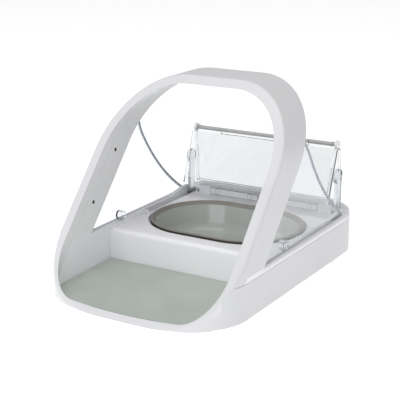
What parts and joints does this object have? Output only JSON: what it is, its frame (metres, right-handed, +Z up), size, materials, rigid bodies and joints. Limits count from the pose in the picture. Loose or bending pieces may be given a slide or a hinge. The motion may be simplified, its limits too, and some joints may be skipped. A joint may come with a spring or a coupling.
{
  "type": "automatic pet feeder",
  "caption": "Free-standing pet feeder: leaning hoop over a mat tray, oval lift-out bowl on a step, clear side windows and a motor-driven folding clear lid.",
  "frame": {"origin": "centre of the footprint, on the surface the feet stand on", "axes": "+X to the feeder's right seen from the front, +Y from the hoop to the buttons, +Z up"},
  "size_m": [0.2198, 0.324, 0.2073],
  "materials": {
    "white_shell": "satin white moulded ABS",
    "white_liner": "satin white moulded ABS",
    "white_base": "satin white moulded ABS",
    "mat_grey": "matte grey-green silicone mat",
    "bowl_grey": "glossy grey-green melamine",
    "seal_taupe": "taupe silicone rim seal",
    "clear_window": "clear polycarbonate",
    "clear_lid": "clear polycarbonate",
    "white_part": "satin white moulded acetal",
    "steel": "drawn steel",
    "bronze": "sintered bronze bush",
    "grey_plastic": "moulded nylon",
    "black_plastic": "black moulded plastic",
    "pcb_green": "solder-masked circuit board",
    "copper_coil": "enamelled copper winding on a former",
    "panel_grey": "light grey moulded panel",
    "button_white": "moulded button caps",
    "light_clear": "translucent light pipe",
    "cell_jacket": "printed film over a dry cell",
    "contact_metal": "nickel-plated spring steel",
    "foot_rubber": "soft rubber"
  },
  "bodies": {
    "base": {"hoop_shell": "white_shell", "hoop_liner": "white_liner", "antenna_coil": "copper_coil", "ir_emitters": "black_plastic", "ir_receivers": "black_plastic", "lower_tub": "white_base", "tray": "white_base", "deck": "white_shell", "hinge_cover_right": "white_part", "hinge_cover_left": "white_part", "wall_plates": "white_liner", "window_right": "clear_window", "window_left": "clear_window", "bush_right": "bronze", "bush_left": "bronze", "gear_housing": "grey_plastic", "motor": "steel", "limit_switch": "black_plastic", "control_board": "pcb_green", "board_parts": "black_plastic", "button_panel": "panel_grey", "status_light": "light_clear", "battery_box": "grey_plastic", "cell_1": "cell_jacket", "cell_2": "cell_jacket", "cell_3": "cell_jacket", "cell_4": "cell_jacket", "battery_contacts": "contact_metal", "rubber_feet": "foot_rubber", "screws": "steel"},
    "lid_arms": {"rear_panel": "clear_lid", "ridge_rod": "clear_lid", "arm_right": "clear_lid", "arm_left": "clear_lid", "drive_shaft": "steel", "position_cam": "grey_plastic"},
    "front_lid": {"front_panel": "clear_lid"},
    "bowl": {"bowl": "bowl_grey", "bowl_seal": "seal_taupe"},
    "mat": {"mat": "mat_grey"},
    "door_right": {"battery_door_right": "white_base"},
    "door_left": {"battery_door_left": "white_base"},
    "button_add": {"button_add": "button_white"},
    "button_open": {"button_open": "button_white"},
    "button_train": {"button_train": "button_white"}
  },
  "joints": [
    {"name": "lid_swing", "type": "hinge", "parent": "base", "child": "lid_arms", "pos_m": [0, 0.128, 0.037], "axis": [-1, 0, 0], "range_deg": [-85.2, 0]},
    {"name": "lid_fold", "type": "hinge", "parent": "lid_arms", "child": "front_lid", "pos_m": [0, 0.1322, 0.1229], "axis": [-1, 0, 0], "range_deg": [0, 154.1]},
    {"name": "bowl_lift", "type": "slide", "parent": "base", "child": "bowl", "axis": [0, 0, 1], "range_m": [0, 0.06]},
    {"name": "mat_lift", "type": "slide", "parent": "base", "child": "mat", "axis": [0, 0, 1], "range_m": [0, 0.03]},
    {"name": "door_right_slide", "type": "slide", "parent": "base", "child": "door_right", "axis": [0, -1, 0], "range_m": [0, 0.024]},
    {"name": "door_left_slide", "type": "slide", "parent": "base", "child": "door_left", "axis": [0, -1, 0], "range_m": [0, 0.024]},
    {"name": "button_add_press", "type": "slide", "parent": "base", "child": "button_add", "axis": [0, -1, 0], "range_m": [0, 0.0013], "stiffness_N_per_m": 300, "springref_m": -0.0005},
    {"name": "button_open_press", "type": "slide", "parent": "base", "child": "button_open", "axis": [0, -1, 0], "range_m": [0, 0.0013], "stiffness_N_per_m": 300, "springref_m": -0.0005},
    {"name": "button_train_press", "type": "slide", "parent": "base", "child": "button_train", "axis": [0, -1, 0], "range_m": [0, 0.0013], "stiffness_N_per_m": 300, "springref_m": -0.0005}
  ],
  "couplings": [
    {"joint": "lid_fold", "follows": "lid_swing", "ratio": -1.8087}
  ]
}
